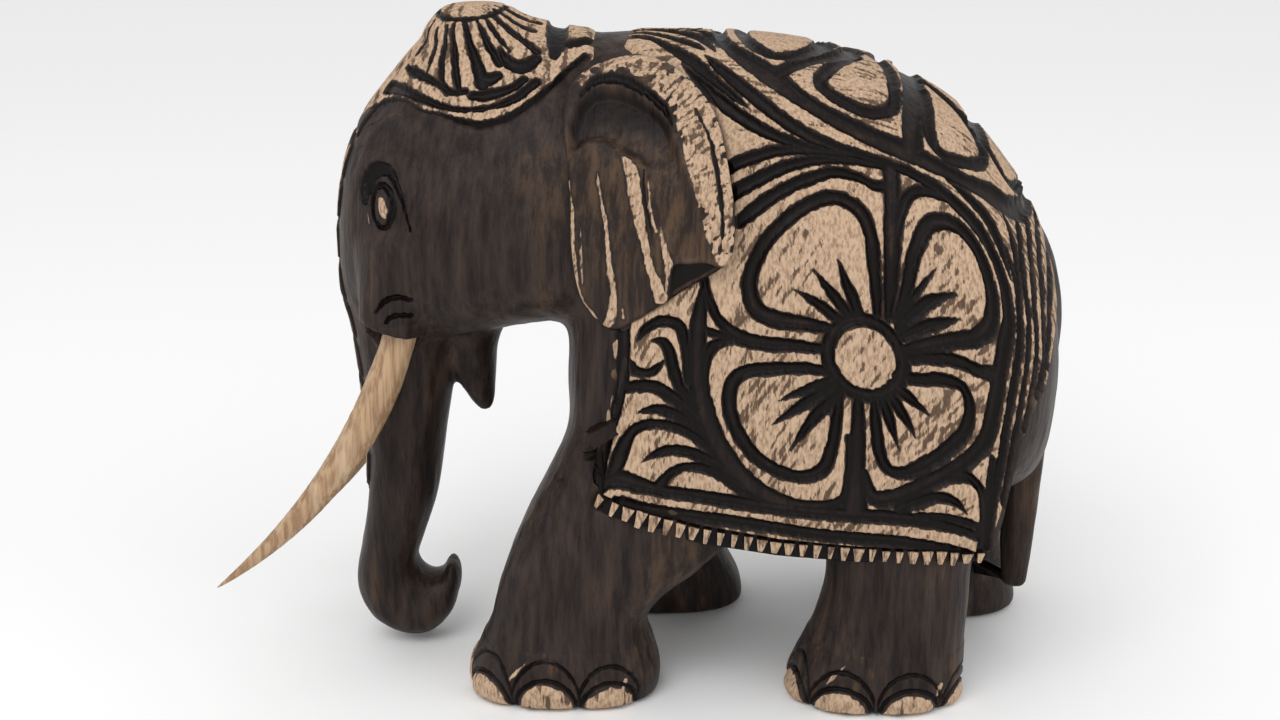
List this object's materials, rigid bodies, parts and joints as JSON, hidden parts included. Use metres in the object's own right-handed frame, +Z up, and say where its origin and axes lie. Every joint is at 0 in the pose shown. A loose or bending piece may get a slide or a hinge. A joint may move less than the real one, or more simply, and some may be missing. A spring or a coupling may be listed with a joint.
{
  "type": "carved wooden elephant figurine",
  "caption": "Walking elephant carved from one block of wood, with a carved saddle blanket and push-in wooden tusks.",
  "frame": {"origin": "on the ground, under the middle of the figure's box", "axes": "+Z up, -X towards the head, -Y out of the left flank"},
  "size_m": [0.2185, 0.0996, 0.172],
  "materials": {
    "stained_wood": "dark stained and sanded back on the carving",
    "tusk_wood": "natural oiled"
  },
  "bodies": {
    "body": {"carved_body": "stained_wood"},
    "left_tusk": {"left_tusk": "tusk_wood"},
    "right_tusk": {"right_tusk": "tusk_wood"}
  },
  "joints": [
    {"name": "left_tusk_pull", "type": "slide", "parent": "body", "child": "left_tusk", "axis": [-0.2784, 0, -0.9605], "range_m": [0, 0.012]},
    {"name": "right_tusk_pull", "type": "slide", "parent": "body", "child": "right_tusk", "axis": [-0.1593, 0, -0.9872], "range_m": [0, 0.012]}
  ]
}
